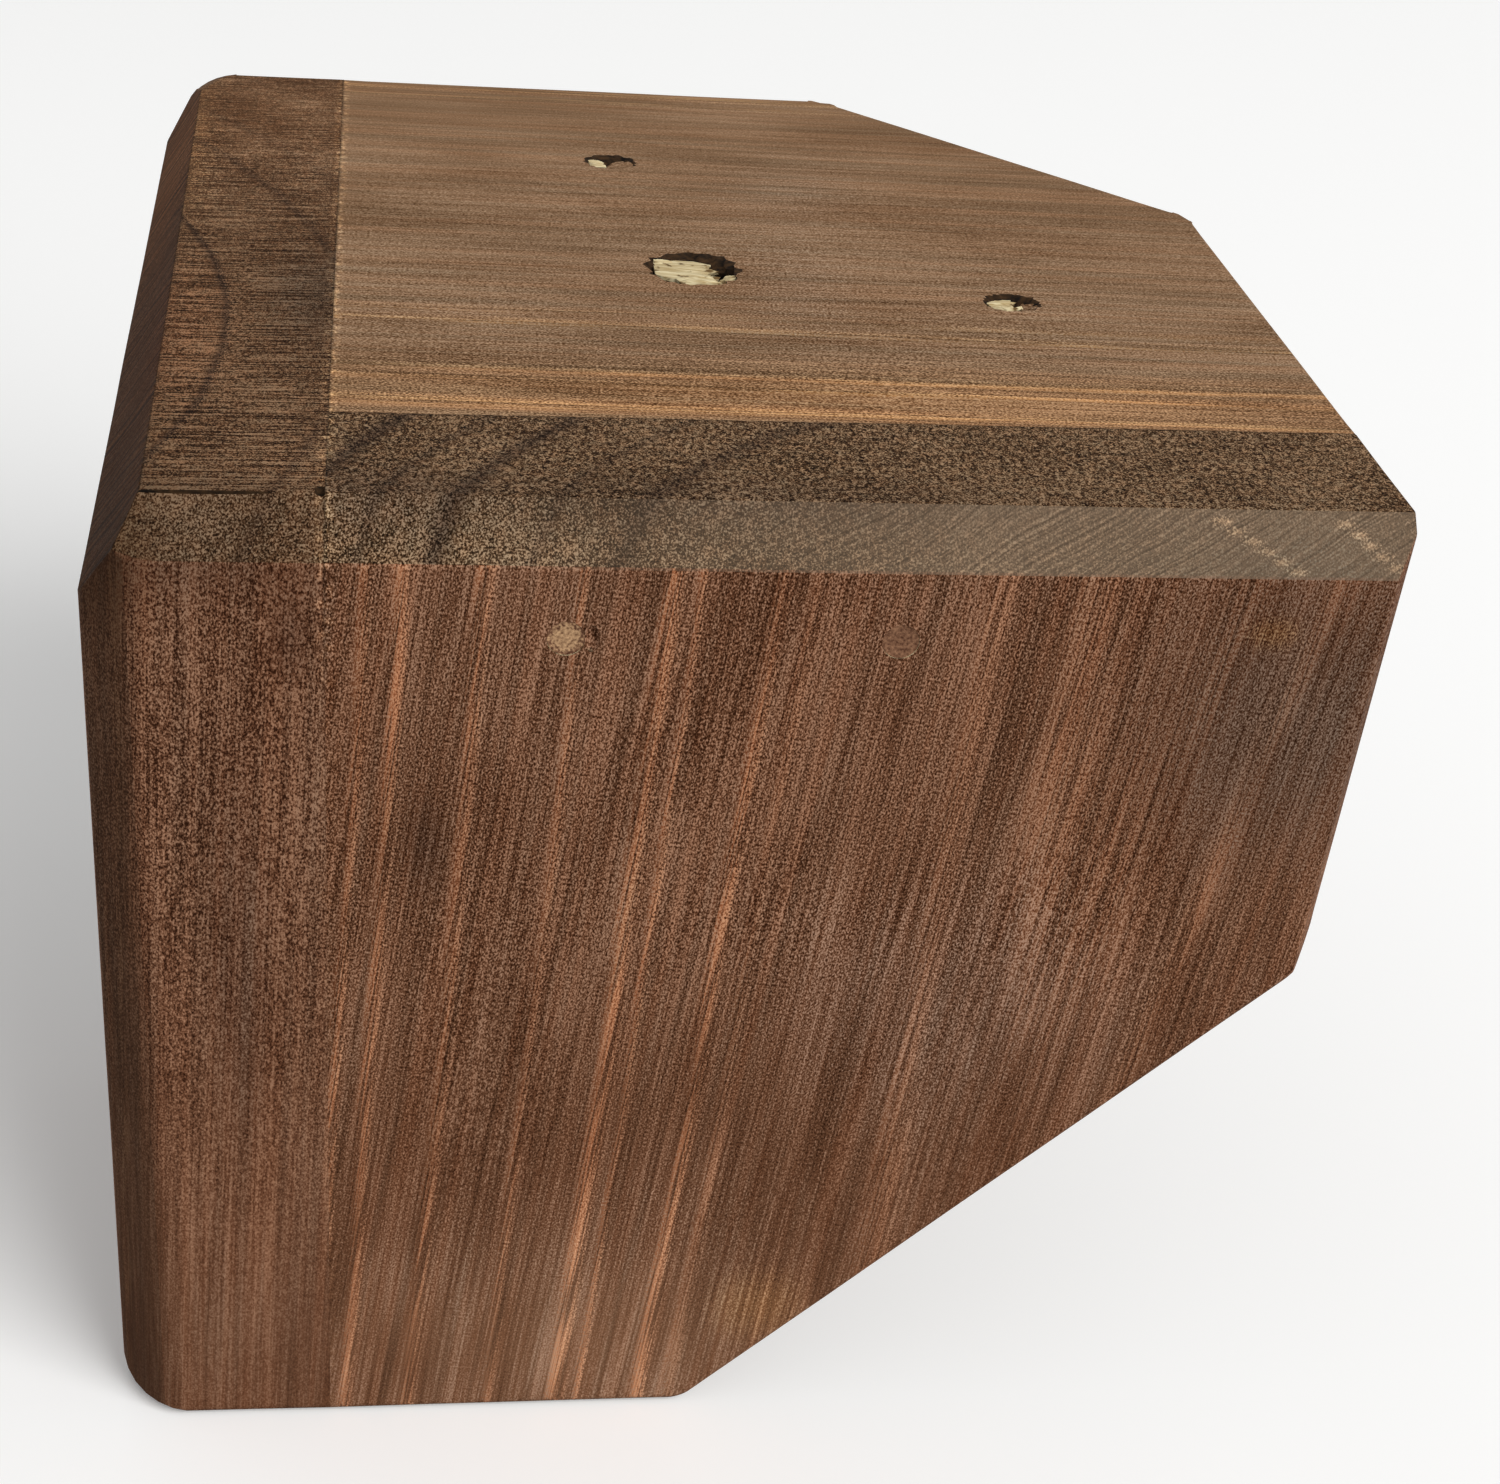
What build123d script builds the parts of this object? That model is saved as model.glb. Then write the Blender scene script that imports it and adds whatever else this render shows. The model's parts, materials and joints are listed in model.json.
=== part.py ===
from build123d import *
import os

# Wooden bed leg: two upright boards glued into an L, with a level corner block between them at the top.
# The leg is bolted up under the corner of a bed, hollow side inward.
# Millimetres. +X runs along the front face, +Y towards the back, +Z up.
# The origin is the mouth of the bolt hole, on the mounting face.

# Overall sizes, alike on the front and the side
width = 140.0  # from an outer face to the far end of the other board
height = 122.0
board = 25.0  # thickness of both boards
block = 27.0  # thickness of the corner block
end_length = 94.0  # from an outer face to the cut across the inner corner
end_skew = 2.2  # how far an end draws in over that length
end_drop = 55.5  # height of a board's end, from the top down to the knee
end_lean = 2.5  # how far the end leans in on the way down to the knee
foot = 68.2  # length of a board on the floor

# Edges
front_chamfer = 5.5
side_chamfer = 6.0  # on the top, in the middle
side_chamfer_depth = 10.5  # down the side, steeper than the front one
side_chamfer_taper = 1.4  # how much narrower it gets over the width
corner_chamfer = 5.0
end_facet = 2.5  # planed edge of a board's end, measured on its outer face
end_facet_depth = 4.0  # and measured across its end
edge_round = 1.5
knee_radius = 10.0  # where the end turns into the slope
heel_radius = 4.0  # where the slope meets the floor
cut_round = 5.0  # at both ends of the cut across the inner corner

# Holes in the corner block, each place measured from the outer faces
bolt_setback = 68.5
bolt_hole = 10.0
screw_hole = 5.0
screw_near = 61.0
screw_far = 107.0

# Finishing nails, set below the surface and filled over
nail_setback = 49.5  # from the outer corner to the first nail
nail_spacing = 35.0
nail_length = 40.0
nail_shank = 2.2
nail_head = 4.0
nail_head_depth = 1.2
nail_point = 3.0  # length of the tapered point
nail_tip = 0.5  # width of its blunt end
filler_depth = 2.0
nail_stagger = 6.0  # how much lower the side nails are, so that they pass the front ones

# How far a cutting shape runs past what it cuts, and how near counts as the same place
overrun = 10.0
near_enough = 1e-4

# Places that follow from the sizes
outer = -bolt_setback
end = outer + width
inner = outer + board
mid_block = -block / 2


def outline():
    """Outline of a board: length along the first axis, height along the second."""
    corners = [
        (outer - overrun, 0),
        (end, 0),
        (end - end_lean, -end_drop),
        (outer + foot, -height),
        (outer - overrun, -height),
    ]
    face = make_face(Polyline(*corners, close=True))
    knee = face.vertices().sort_by_distance((end - end_lean, -end_drop))[0]
    face = fillet(knee, knee_radius)
    heel = face.vertices().sort_by_distance((outer + foot, -height))[0]
    return fillet(heel, heel_radius)


def plan():
    """Plan of the leg, a square with its inner corner cut off."""
    corners = [
        (outer, outer),
        (end, outer),
        (end - end_skew, outer + end_length),
        (outer + end_length, end - end_skew),
        (outer, end),
    ]
    face = make_face(Polyline(*corners, close=True))
    cut = [face.vertices().sort_by_distance(corner)[0] for corner in corners[2:4]]
    return fillet(cut, cut_round)


def chamfer_wedge(across, down):
    """Section to cut away outside a chamfer of a top edge, from its width on the top and its depth."""
    corners = [
        (outer - across, -2 * down),
        (outer + 2 * across, down),
        (outer - across, down),
    ]
    return make_face(Polyline(*corners, close=True))


def end_wedge(corner_at):
    """Plan section to cut away outside the planed edge of a board's end."""
    steps = ((-2, -1), (1, 2), (1, -1))
    corners = [
        corner_at(end + across * end_facet, outer + along * end_facet_depth)
        for across, along in steps
    ]
    return make_face(Polyline(*corners, close=True))


def lies_on(edge, axis):
    """True where the whole edge lies in the outer face that is square to the axis."""
    return all(abs(getattr(edge @ share, axis) - outer) < near_enough for share in (0.0, 0.5, 1.0))


def is_lower_edge(edge):
    """True for the edges round the outer faces that get rounded: ends, knees, slopes, heels and feet."""
    middle = edge @ 0.5
    on_face = lies_on(edge, "X") or lies_on(edge, "Y")
    on_top = abs(middle.Z) < near_enough
    beside_corner = abs(middle.X - outer) + abs(middle.Y - outer) < corner_chamfer + near_enough
    corner_foot = beside_corner and abs(middle.Z + height) < near_enough
    return corner_foot or (on_face and not on_top and not beside_corner)


def envelope():
    """Outer form of the whole glued leg, with its edges worked after gluing."""
    front_face = Plane((0, outer, 0), x_dir=(1, 0, 0), z_dir=(0, -1, 0))
    side_face = Plane((outer, 0, 0), x_dir=(0, 1, 0), z_dir=(1, 0, 0))
    front = extrude(front_face * outline(), amount=2 * width, dir=(-end_skew, end_length, 0), both=True)
    side = extrude(side_face * outline(), amount=2 * width, dir=(end_length, -end_skew, 0), both=True)
    body = extrude(plan(), amount=-height) & front & side
    corner = body.edges().filter_by(Axis.Z).sort_by_distance((outer, outer, -height / 2))[0]
    body = chamfer(corner, corner_chamfer)
    body = fillet([edge for edge in body.edges() if is_lower_edge(edge)], edge_round)
    front_end = end_wedge(lambda length, depth: (length, depth))
    side_end = end_wedge(lambda length, depth: (depth, length))
    body -= extrude(front_end, amount=height, dir=(-end_lean, 0, -end_drop), both=True)
    body -= extrude(side_end, amount=height, dir=(0, -end_lean, -end_drop), both=True)
    front_edge = Plane.YZ * chamfer_wedge(front_chamfer, front_chamfer)
    side_edge = Plane.XZ * chamfer_wedge(side_chamfer, side_chamfer_depth)
    body -= extrude(front_edge, amount=2 * width, both=True)
    body -= extrude(side_edge, amount=2 * width, dir=(-side_chamfer_taper, width, 0), both=True)
    return body


def slab(low, high):
    """Straight-sided blank between two corners."""
    size = Vector(*high) - Vector(*low)
    return Pos(*low) * Box(size.X, size.Y, size.Z, align=(Align.MIN, Align.MIN, Align.MIN))


def nail_places():
    """Distances of the nails along a face, as coordinates."""
    return [outer + nail_setback + index * nail_spacing for index in range(2)]


def nail():
    """One nail pointing along +Z, its head starting where the filler ends."""
    head = Pos(0, 0, filler_depth) * extrude(Circle(nail_head / 2), amount=nail_head_depth)
    shank_length = nail_length - nail_head_depth - nail_point
    shank = Pos(0, 0, filler_depth + nail_head_depth) * extrude(Circle(nail_shank / 2), amount=shank_length)
    tip_start = filler_depth + nail_length - nail_point
    tip = Pos(0, 0, tip_start + nail_point / 2) * Cone(nail_shank / 2, nail_tip / 2, nail_point)
    return head + shank + tip


def filler():
    """One putty plug, from the face down to the nail's head."""
    return extrude(Circle(nail_head / 2), amount=filler_depth)


def on_front(piece):
    """Two copies of a piece that points into the front face."""
    return [
        Plane((x, outer, mid_block), x_dir=(1, 0, 0), z_dir=(0, 1, 0)) * piece
        for x in nail_places()
    ]


def on_side(piece):
    """Two copies of a piece that points into the side face, below the front nails so that they pass."""
    return [
        Plane((outer, y, mid_block - nail_stagger), x_dir=(0, 1, 0), z_dir=(1, 0, 0)) * piece
        for y in nail_places()
    ]


def block_holes():
    """Drills for the bolt hole and the two screw holes, which mirror each other across the diagonal."""
    near = outer + screw_near
    far = outer + screw_far
    drills = [Pos(0, 0, mid_block) * Cylinder(bolt_hole / 2, block + 2 * overrun)]
    for x, y in ((near, far), (far, near)):
        drills.append(Pos(x, y, mid_block) * Cylinder(screw_hole / 2, block + 2 * overrun))
    return drills


def cut_out(body, tools):
    """Body with each tool cut out of it."""
    for tool in tools:
        body = body - tool
    return body


def build():
    """Every sub-part of the leg, by name."""
    whole = envelope()
    floor = -height
    front_fixings = on_front(nail()) + on_front(filler())
    side_fixings = on_side(nail()) + on_side(filler())
    side_board = whole & slab((outer, outer, floor), (inner, end, 0))
    front_board = whole & slab((inner, outer, floor), (end, inner, 0))
    corner_block = whole & slab((inner, inner, -block), (end, end, 0))
    return {
        "side_board": cut_out(side_board, side_fixings),
        "front_board": cut_out(front_board, front_fixings),
        "corner_block": cut_out(corner_block, block_holes() + front_fixings + side_fixings),
        "front_nails": Compound(children=on_front(nail())),
        "side_nails": Compound(children=on_side(nail())),
        "front_nail_fillers": Compound(children=on_front(filler())),
        "side_nail_fillers": Compound(children=on_side(filler())),
    }


os.makedirs("parts", exist_ok=True)
for name, solid in build().items():
    export_step(solid, f"parts/{name}.step")
    print(name, round(solid.volume, 1))
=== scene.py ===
# %% [markdown]
# # A wooden bed leg in stained pine
#
# The leg is two upright boards glued into an L, with a level corner block between them at the top.
# It is bolted up under the corner of a bed, so its top is drilled, its outer edges are chamfered,
# and the boards slope back to a small foot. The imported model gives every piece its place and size.
# Here each board is modelled again as a joiner would cut it, because worn edges, torn drill holes
# and cracked putty are shapes, and then it gets its stained and sanded finish.

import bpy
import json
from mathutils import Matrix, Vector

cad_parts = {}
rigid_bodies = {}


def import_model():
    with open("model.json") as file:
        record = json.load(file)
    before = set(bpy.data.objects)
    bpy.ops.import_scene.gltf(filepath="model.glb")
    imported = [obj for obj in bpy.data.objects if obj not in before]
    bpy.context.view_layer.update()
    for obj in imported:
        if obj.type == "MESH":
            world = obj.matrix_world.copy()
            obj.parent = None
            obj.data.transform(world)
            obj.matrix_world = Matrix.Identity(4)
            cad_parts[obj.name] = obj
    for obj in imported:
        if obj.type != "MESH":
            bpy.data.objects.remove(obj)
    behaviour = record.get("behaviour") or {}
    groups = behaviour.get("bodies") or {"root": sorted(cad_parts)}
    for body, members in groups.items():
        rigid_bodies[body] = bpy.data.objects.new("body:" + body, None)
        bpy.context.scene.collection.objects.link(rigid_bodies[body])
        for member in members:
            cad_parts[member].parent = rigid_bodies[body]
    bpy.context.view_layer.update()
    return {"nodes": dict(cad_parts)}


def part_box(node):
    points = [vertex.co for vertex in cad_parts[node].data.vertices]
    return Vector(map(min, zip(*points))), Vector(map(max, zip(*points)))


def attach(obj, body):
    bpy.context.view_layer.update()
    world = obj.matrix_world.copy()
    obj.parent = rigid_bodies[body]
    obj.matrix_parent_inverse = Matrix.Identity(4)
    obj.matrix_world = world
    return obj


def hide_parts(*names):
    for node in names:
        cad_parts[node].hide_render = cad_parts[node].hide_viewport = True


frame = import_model()
print("nodes", sorted(frame["nodes"]))

# %% [markdown]
# ## The frame's own measures
#
# The model is in metres and its origin is the mouth of the bolt hole. A joiner thinks in
# millimetres, so sizes below are written as a number of `MM`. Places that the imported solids
# already know, such as the outer faces or the floor, are read from their boxes and not typed again.
# The far ends are planed, so no box shows the full width that the boards were first cut to.

# %% Read the boards' places from the frame
import json
import math
import random

import bpy
from mathutils import Quaternion, Vector

MM = 0.001
side_low, side_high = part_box("side_board")
front_low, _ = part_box("front_board")
block_low, block_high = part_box("corner_block")
width = 140 * MM
outer = side_low.x
inner = side_high.x
end = outer + width
floor = side_low.z
top = side_high.z
print("outer face, inner face, far end, floor in mm",
      [round(value / MM, 1) for value in (outer, inner, end, floor)])

# %% [markdown]
# ## Camera
#
# The view looks down on the top and straight at the front, from close by, so the front's upright
# edges draw together towards the foot. A camera can be placed by eye or solved from known corners.
# This one was solved from the leg's corners. It aims at a point inside the leg and is rolled a
# little, because the front's top edge climbs across the picture.

# %% Place the camera
camera_place = Vector((-37.8, -309.3, 120.5)) * MM
camera_aim = Vector((11.3, -4.6, -64.6)) * MM
camera_roll = math.radians(5.03)
camera_lens = 64.35

camera_data = bpy.data.cameras.new("camera")
camera_data.lens = camera_lens
camera_data.clip_start = 0.01
camera = bpy.data.objects.new("camera", camera_data)
camera.location = camera_place
camera.rotation_mode = "QUATERNION"
level_view = (camera_aim - camera_place).to_track_quat("-Z", "Y")
camera.rotation_quaternion = level_view @ Quaternion((0, 0, 1), camera_roll)
bpy.context.scene.collection.objects.link(camera)
bpy.context.scene.camera = camera
print("camera stands", round((camera_aim - camera_place).length / MM), "mm from its aim")

# %% [markdown]
# ## Joiner's tools
#
# A board starts as a planed blank, which is a cube primitive at its size. A saw cut is the bisect
# operator with the waste side cleared and the cut filled. A rounded edge is the bevel operator.
# Operators act on what is selected, so each tool first deselects everything else.

# %% Blank, saw and rounding plane
def select(*pieces):
    """Select these pieces only, and make the first one active."""
    bpy.ops.object.select_all(action="DESELECT")
    for piece in pieces:
        piece.select_set(True)
    bpy.context.view_layer.objects.active = pieces[0]


def edit(piece):
    """Select one piece only, and open it in edit mode."""
    select(piece)
    bpy.ops.object.mode_set(mode="EDIT")


def edit_unpicked(piece, kind):
    """Open one piece with nothing selected, ready to pick edges or faces."""
    edit(piece)
    bpy.ops.mesh.select_mode(type=kind)
    bpy.ops.mesh.select_all(action="DESELECT")


def done():
    """Leave edit mode."""
    bpy.ops.object.mode_set(mode="OBJECT")


def primitive(name, kind, **settings):
    """A new primitive of a kind, with its place, turn and scale applied."""
    bpy.ops.object.select_all(action="DESELECT")
    getattr(bpy.ops.mesh, f"primitive_{kind}_add")(**settings)
    bpy.ops.object.transform_apply(location=True, rotation=True, scale=True)
    bpy.context.object.name = name
    return bpy.context.object


def blank(name, low, high):
    """A planed blank between two corners."""
    return primitive(name, "cube", size=1, location=(low + high) / 2, scale=high - low)


def saw_off(piece, point, away):
    """Cut along a plane and drop what lies on the side that away points to."""
    edit(piece)
    bpy.ops.mesh.select_all(action="SELECT")
    waste = away.normalized()
    bpy.ops.mesh.bisect(plane_co=point, plane_no=waste, use_fill=True, clear_outer=True, threshold=1e-6)
    done()


def pick_edges(piece, wanted):
    """Open a piece with the edges selected whose two ends pass the test."""
    edit_unpicked(piece, "EDGE")
    done()
    places = [vertex.co for vertex in piece.data.vertices]
    for edge in piece.data.edges:
        edge.select = wanted(*(places[index] for index in edge.vertices))
    edit(piece)


def pick_end(piece, way):
    """Open a piece with the faces selected that look one way."""
    edit_unpicked(piece, "FACE")
    done()
    for face in piece.data.polygons:
        face.select = face.normal.dot(way) > nearly_square
    edit(piece)


def round_edges(piece, wanted, offset, segments):
    """Round the edges that pass the test."""
    pick_edges(piece, wanted)
    bpy.ops.mesh.bevel(offset=offset, segments=segments, affect="EDGES")
    done()


near = 0.01 * MM
nearly_square = 0.9


def same(*values):
    """True where all values are the same place."""
    return max(values) - min(values) < near


print("tools ready")

# %% [markdown]
# ## The two boards
#
# On the real leg both boards have one outline: a level top, an end that leans in a little and isn't
# quite square, a sloping cut from a rounded knee to the heel, and a level foot. It could be drawn as a
# curve and extruded. Sawing a blank keeps every face flat and named by the cut that made it, so it
# is done here as in the workshop. One function makes both boards: `run` is the way along the board,
# and the side board is turned so that its run is the front board's depth.

# %% Saw a board
end_drop = 55.5 * MM
end_lean = 2.5 * MM
end_skew = 2.2 * MM
end_length = 94 * MM
foot = 68.2 * MM
knee_radius = 10 * MM
heel_radius = 4 * MM
bend_cuts = 10
end_facet = 2.5 * MM
end_facet_depth = 4 * MM
knee_run = end - end_lean
heel_run = outer + foot
end_slant = Vector((-end_lean, 0, -end_drop))
slope = Vector((heel_run - knee_run, 0, floor + end_drop))
skew_rate = end_skew / end_length
across = Vector((skew_rate, -1, 0))
end_normal = across.cross(end_slant)


def turn(vector, turned):
    """A place or direction given as run, depth and height, as the board lies in the leg."""
    return Vector((vector.y, vector.x, vector.z)) if turned else vector.copy()


def bend_offset(radius, before, after):
    """Bevel offset that rounds the bend between two straight cuts to a radius."""
    return radius * math.tan(before.angle(after) / 2)


def square_run(place):
    """How far along the board a place would be if the end were square."""
    return place.x + skew_rate * (place.y - outer)


def saw_board(name, low, high, turned):
    """A blank with its end, slope, knee and heel cut."""
    piece = blank(name, low, high)
    slope_normal = across.cross(slope)
    saw_off(piece, turn(Vector((end, outer, top)), turned), turn(end_normal, turned))
    saw_off(piece, turn(Vector((knee_run, outer, -end_drop)), turned), turn(slope_normal, turned))
    foot_way = Vector((-1, 0, 0))
    bends = (
        (knee_run, -end_drop, bend_offset(knee_radius, end_slant, slope)),
        (heel_run, floor, bend_offset(heel_radius, slope, foot_way)),
    )
    for run, height, offset in bends:
        def at_bend(a, b):
            runs = [square_run(turn(place, turned)) for place in (a, b)]
            return same(*runs, run) and same(a.z, b.z, height)
        round_edges(piece, at_bend, offset, bend_cuts)
    return piece


side_board = saw_board("side_board_wood", side_low, Vector((inner, end, top)), True)
front_board = saw_board("front_board_wood", front_low, Vector((end, inner, top)), False)
for board in (side_board, front_board):
    print(board.name, len(board.data.polygons), "faces after sawing")

# %% [markdown]
# ## Edges worked after gluing
#
# The outer corner, the lower edges and the top edges were worked once the leg was glued up: the
# corner and the top edges are planed to chamfers, the lower edges are rounded, and the far ends
# have a narrow planed facet. The same cuts pass through both boards, so they line up at the joint.
# Years of use have worn the corner's edges, its foot and the far top corner round, each by a fan of cuts.

# %% Round the lower edges and plane the chamfers
corner_chamfer = 5 * MM
front_chamfer = 5.5 * MM
side_chamfer = Vector((6, 0, 10.5)) * MM
side_chamfer_taper = 1.4 * MM
edge_round = 1.5 * MM
edge_cuts = 6

saw_off(side_board, Vector((outer + corner_chamfer, outer, 0)), Vector((-1, -1, 0)))


def lower_edge(turned):
    """Test for the edges round a board's outer face, below the top and away from the corner."""
    def wanted(a, b):
        a_run, b_run = turn(a, turned), turn(b, turned)
        on_face = same(a_run.y, b_run.y, outer)
        upright_at_joint = same(a_run.x, b_run.x) and a_run.x < 0
        return on_face and not same(a.z, b.z, top) and not upright_at_joint
    return wanted


def corner_foot(a, b):
    """Test for the foot edges under the corner chamfer and under the side board's front edge."""
    at_floor = same(a.z, b.z, floor)
    under_front = same(a.y, b.y, outer)
    under_corner = same(a.x + a.y, b.x + b.y, 2 * outer + corner_chamfer)
    return at_floor and (under_front or under_corner)


side_lower = lower_edge(True)
round_edges(side_board, lambda a, b: side_lower(a, b) or corner_foot(a, b), edge_round, edge_cuts)
round_edges(front_board, lower_edge(False), edge_round, edge_cuts)

facet_way = Vector((end_facet, end_facet_depth, 0)).cross(end_slant)
facet_normal = facet_way if facet_way.x > 0 else -facet_way
for board, turned in ((side_board, True), (front_board, False)):
    saw_off(board, turn(Vector((end - end_facet, outer, top)), turned), turn(facet_normal, turned))
    saw_off(board, Vector((0, outer, top - front_chamfer)), Vector((0, -1, 1)))
chamfer_run = Vector((-side_chamfer_taper, width, 0))
saw_off(side_board, Vector((outer + side_chamfer.x, 0, top)), side_chamfer.cross(chamfer_run))
for board in (side_board, front_board):
    print(board.name, len(board.data.polygons), "faces after the edges")

# %% Wear the corners round
worn_cuts = 7
front_wear = 7 * MM
side_wear = 3 * MM
tip_wear = 9 * MM


def wear_corner(piece, corner, first_way, last_way, radius):
    """Round the corner between two directions by a fan of cuts, tangent to a cylinder."""
    first, last = first_way.normalized(), last_way.normalized()
    centre = corner - radius * (first + last) / (1 + first.dot(last))
    for index in range(1, worn_cuts):
        away = first.slerp(last, index / worn_cuts)
        saw_off(piece, centre + radius * away, away)
    print("corner of", piece.name, "rounded to", round(radius / MM), "mm")


corner_way = Vector((-1, -1, 0))
by_front = Vector((outer + corner_chamfer, outer, 0))
by_side = Vector((outer, outer + corner_chamfer, 0))
wear_corner(side_board, by_front, corner_way, Vector((0, -1, 0)), front_wear)
wear_corner(side_board, by_side, corner_way, Vector((-1, 0, 0)), side_wear)
foot_corner = Vector((outer, outer, floor)) + Vector((0.4, 2.9, -2.1)) * MM
wear_corner(side_board, foot_corner, Vector((-1, -0.125, 0)), Vector((0, -1, -1)), tip_wear)
back_corner = Vector((outer + side_chamfer.x - side_chamfer_taper / 2, end, top))
wear_corner(side_board, back_corner, Vector((0, 0.14, 1)), Vector((-0.87, 0.14, 0.5)), tip_wear)

# %% [markdown]
# ## The corner block
#
# The block fills the top of the L and takes the bolt and the screws. Its inner corner is cut off at
# 45 degrees, and its two ends lean in with the boards' ends. It is sawn from a blank too.

# %% Saw the corner block
cut_round = 5 * MM

block = blank("corner_block_wood", block_low, block_high)
for turned in (False, True):
    saw_off(block, turn(Vector((end, outer, top)), turned), turn(end_normal, turned))
cut_sum = outer + end_length + end - end_skew
saw_off(block, Vector((cut_sum / 2, cut_sum / 2, 0)), Vector((1, 1, 0)))
quarter = Vector((1, 0, 0)), Vector((1, 1, 0))


def at_cut_end(a, b):
    """Test for the upright edges at both ends of the cut."""
    return same(a.x + a.y, b.x + b.y, cut_sum) and not same(a.z, b.z)


round_edges(block, at_cut_end, bend_offset(cut_round, *quarter), edge_cuts)
print(block.name, len(block.data.polygons), "faces")

# %% [markdown]
# ## Worn edges
#
# No edge of the real leg is knife sharp: sanding and handling have eased it, a little more here and
# a little less there. Only the glue lines stay tight. A bevel modifier of one width would look
# machined. So each board is first sliced into short lengths by more bisect cuts, and each short edge
# gets its own bevel weight from a seeded draw. The slices meet the slope at the same points, because
# slivers there would spoil the bevel.

# %% Slice the pieces
slice_step = 4 * MM
edge_margin = 10 * MM
second_margin = 16 * MM
chamfer_margin = 14 * MM
slices_before, slices_after = 22, 6
slope_rate = slope.z / slope.x


def slice_at(piece, places, normal):
    """Cut a piece through, without parting it, at each place."""
    edit(piece)
    for place in places:
        bpy.ops.mesh.select_all(action="SELECT")
        bpy.ops.mesh.bisect(plane_co=place, plane_no=normal.normalized(), threshold=1e-5)
    done()


def spread(start, stop, step):
    """Places from a start, a step apart, as far as a stop."""
    return [start + index * step for index in range(1 + int((stop - start) / step))]


def slice_board(piece, low_run, turned):
    """Slice a board along its run, its height and its depth."""
    runs = spread(knee_run - slice_step, low_run + edge_margin, -slice_step)
    slope_step = slope_rate * slice_step
    slope_heights = spread(-end_drop - slope_step, floor + edge_margin, -slope_step)
    end_heights = spread(top - chamfer_margin, -end_drop + slice_step, -slice_step)
    depths = (outer + edge_margin, outer + second_margin)
    slice_at(piece, [turn(Vector((run, outer, 0)), turned) for run in runs],
             turn(Vector((1, skew_rate, 0)), turned))
    slice_at(piece, [Vector((0, 0, height)) for height in slope_heights + end_heights], Vector((0, 0, 1)))
    slice_at(piece, [turn(Vector((0, depth, 0)), turned) for depth in depths],
             turn(Vector((0, 1, 0)), turned))


slice_board(side_board, outer, True)
slice_board(front_board, inner, False)
block_slices = [cut_sum / 2 + index * slice_step for index in range(-slices_before, slices_after)]
for turned in (False, True):
    slice_at(block, [turn(Vector((place, 0, 0)), turned) for place in block_slices],
             turn(Vector((1, 0, 0)), turned))
slice_at(block, [(block_low + block_high) / 2], Vector((0, 0, 1)))
for piece in (side_board, front_board, block):
    print(piece.name, len(piece.data.polygons), "faces after slicing")

# %% Modifiers, and the edges that stay as they are
worn_foot_reach = 18 * MM


def apply(piece, kind, **settings):
    """Add a modifier with its settings and apply it."""
    select(piece)
    modifier = piece.modifiers.new(kind.lower(), kind)
    for name, value in settings.items():
        setattr(modifier, name, value)
    bpy.ops.object.modifier_apply(modifier=modifier.name)


def on_glue_line(a, b):
    """Test for the edges in the planes where the pieces are glued."""
    return same(a.x, b.x, inner) or same(a.y, b.y, inner)


def at_facet_tip(place):
    """True near a knee, where the end's narrow facet runs out to nothing."""
    past_end = max(place.x, place.y) > knee_run - slice_step
    return past_end and place.z < -end_drop + slice_step and min(place.x, place.y) < outer + slice_step


def at_worn_foot(place):
    """True near the foot's corner, which is round already."""
    return (place - foot_corner).length < worn_foot_reach


print("edges stay sharp on the glue lines, at the knees' facets and at the worn foot")

# %% Ease the edges and let the faces waver
worn_width = 0.45 * MM
least_worn = 0.45
shortest_worn = 0.7 * MM
sharp_angle = math.radians(24)
waver_depth = 0.12 * MM
waver_size = 28 * MM


def wear_edges(piece, seed):
    """Ease every sharp edge by a width that changes along it."""
    draw = random.Random(seed)
    edit_unpicked(piece, "EDGE")
    bpy.ops.mesh.edges_select_sharp(sharpness=sharp_angle)
    done()
    weights = piece.data.attributes.new("bevel_weight_edge", "FLOAT", "EDGE")
    places = [vertex.co for vertex in piece.data.vertices]
    for edge in piece.data.edges:
        a, b = (places[index] for index in edge.vertices)
        kept = at_facet_tip(a) or at_worn_foot(a) or at_worn_foot(b) or on_glue_line(a, b)
        if edge.select and (a - b).length > shortest_worn and not kept:
            weights.data[edge.index].value = draw.uniform(least_worn, 1)
    apply(piece, "BEVEL", width=worn_width, segments=2, limit_method="WEIGHT", use_clamp_overlap=False)


def open_edges(piece):
    """How many edges of a piece don't join exactly two faces."""
    edit_unpicked(piece, "EDGE")
    bpy.ops.mesh.select_non_manifold()
    done()
    return sum(edge.select for edge in piece.data.edges)


def free_vertices(piece):
    """Name a group of all vertices that are off the glued faces."""
    group = piece.vertex_groups.new(name="free")
    free = [vertex.index for vertex in piece.data.vertices if not on_glue_line(vertex.co, vertex.co)]
    group.add(free, 1.0, "REPLACE")
    return group.name


def keep_in_blank(piece):
    """Put back the few vertices that easing pushed a hair past the outer faces."""
    for vertex in piece.data.vertices:
        vertex.co.x = max(vertex.co.x, outer)
        vertex.co.y = max(vertex.co.y, outer)


waver = bpy.data.textures.new("waver", "CLOUDS")
waver.noise_scale = waver_size
for seed, piece in enumerate((side_board, front_board, block)):
    wear_edges(piece, seed)
    apply(piece, "DISPLACE", texture=waver, texture_coords="GLOBAL", strength=waver_depth, mid_level=1.0,
          vertex_group=free_vertices(piece))
    keep_in_blank(piece)
    print(piece.name, len(piece.data.polygons), "faces after easing,", open_edges(piece), "open edges")

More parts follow.
